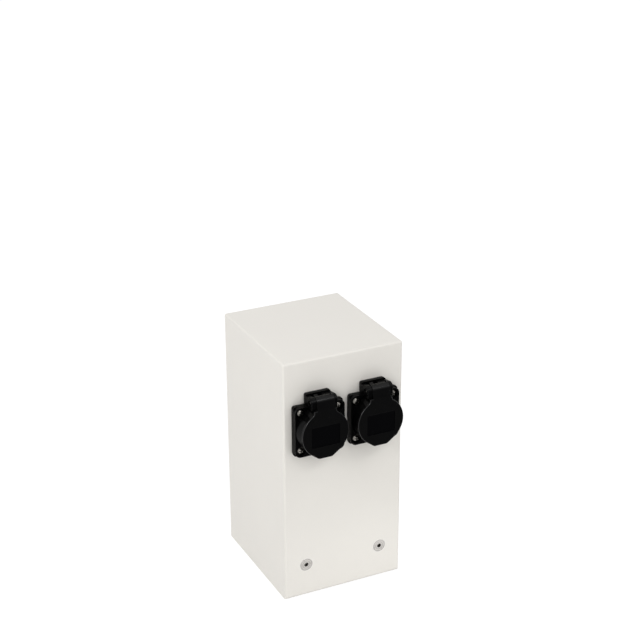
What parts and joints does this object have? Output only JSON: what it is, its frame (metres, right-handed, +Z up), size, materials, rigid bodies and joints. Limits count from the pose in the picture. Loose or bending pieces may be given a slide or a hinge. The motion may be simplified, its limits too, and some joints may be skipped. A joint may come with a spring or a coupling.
{
  "type": "garden socket post",
  "caption": "Low free-standing garden power post: a folded sheet-metal hood on a bolted foot, with flange sockets under sprung hinged lids side by side.",
  "frame": {"origin": "middle of the footprint, on the ground, in the centre of the four anchor holes", "axes": "+X to the right as seen from the front, the sockets face -Y, +Z up"},
  "size_m": [0.122, 0.1547, 0.246],
  "materials": {
    "powder_coat": "fine-textured powder coat",
    "zinc_plated_steel": "zinc plated, satin",
    "stainless_steel": "stainless, satin",
    "spring_steel": "drawn wire",
    "black_plastic": "moulded, satin",
    "grey_plastic": "moulded, matt",
    "blue_plastic": "moulded, matt",
    "green_plastic": "moulded, matt",
    "black_rubber": "soft, matt",
    "brass": "stamped, bright",
    "brown_cable": "cable sheath",
    "blue_cable": "cable sheath",
    "earth_cable": "cable sheath"
  },
  "bodies": {
    "post": {"hood": "powder_coat", "foot_bracket": "zinc_plated_steel", "foot_screws": "stainless_steel", "foot_weld_nuts": "zinc_plated_steel", "cable_bush": "black_rubber", "carrier_plate": "zinc_plated_steel", "carrier_studs": "zinc_plated_steel", "carrier_nuts": "zinc_plated_steel", "mounting_rail": "zinc_plated_steel", "rail_screws": "zinc_plated_steel", "rail_nuts": "zinc_plated_steel", "live_terminal": "grey_plastic", "earth_terminal": "green_plastic", "neutral_terminal": "blue_plastic", "terminal_screws": "zinc_plated_steel", "rail_end_stops": "grey_plastic", "live_wires": "brown_cable", "earth_wires": "earth_cable", "neutral_wires": "blue_cable", "earth_studs": "zinc_plated_steel", "earth_nuts": "zinc_plated_steel", "bonding_lugs": "zinc_plated_steel", "bonding_lead": "earth_cable", "left_socket_gasket": "black_rubber", "left_socket_body": "black_plastic", "left_contact_insert": "black_plastic", "left_live_contact": "brass", "left_neutral_contact": "brass", "left_earth_clip": "brass", "left_clamp_screws": "zinc_plated_steel", "left_rear_cover": "black_plastic", "left_socket_screws": "stainless_steel", "left_socket_nuts": "stainless_steel", "left_hinge_pin": "stainless_steel", "left_lid_spring": "spring_steel", "right_socket_gasket": "black_rubber", "right_socket_body": "black_plastic", "right_contact_insert": "black_plastic", "right_live_contact": "brass", "right_neutral_contact": "brass", "right_earth_clip": "brass", "right_clamp_screws": "zinc_plated_steel", "right_rear_cover": "black_plastic", "right_socket_screws": "stainless_steel", "right_socket_nuts": "stainless_steel", "right_hinge_pin": "stainless_steel", "right_lid_spring": "spring_steel"},
    "left_lid": {"left_lid": "black_plastic", "left_lid_seal": "black_rubber"},
    "right_lid": {"right_lid": "black_plastic", "right_lid_seal": "black_rubber"}
  },
  "joints": [
    {"name": "left_lid_hinge", "type": "hinge", "parent": "post", "child": "left_lid", "pos_m": [-0.02825, -0.0812, 0.2105], "axis": [-1, 0, 0], "range_deg": [0, 110], "stiffness_Nm_per_rad": 0.006, "springref_deg": -40, "deforming": ["left_lid_spring"]},
    {"name": "right_lid_hinge", "type": "hinge", "parent": "post", "child": "right_lid", "pos_m": [0.02825, -0.0812, 0.2105], "axis": [-1, 0, 0], "range_deg": [0, 110], "stiffness_Nm_per_rad": 0.006, "springref_deg": -40, "deforming": ["right_lid_spring"]}
  ]
}
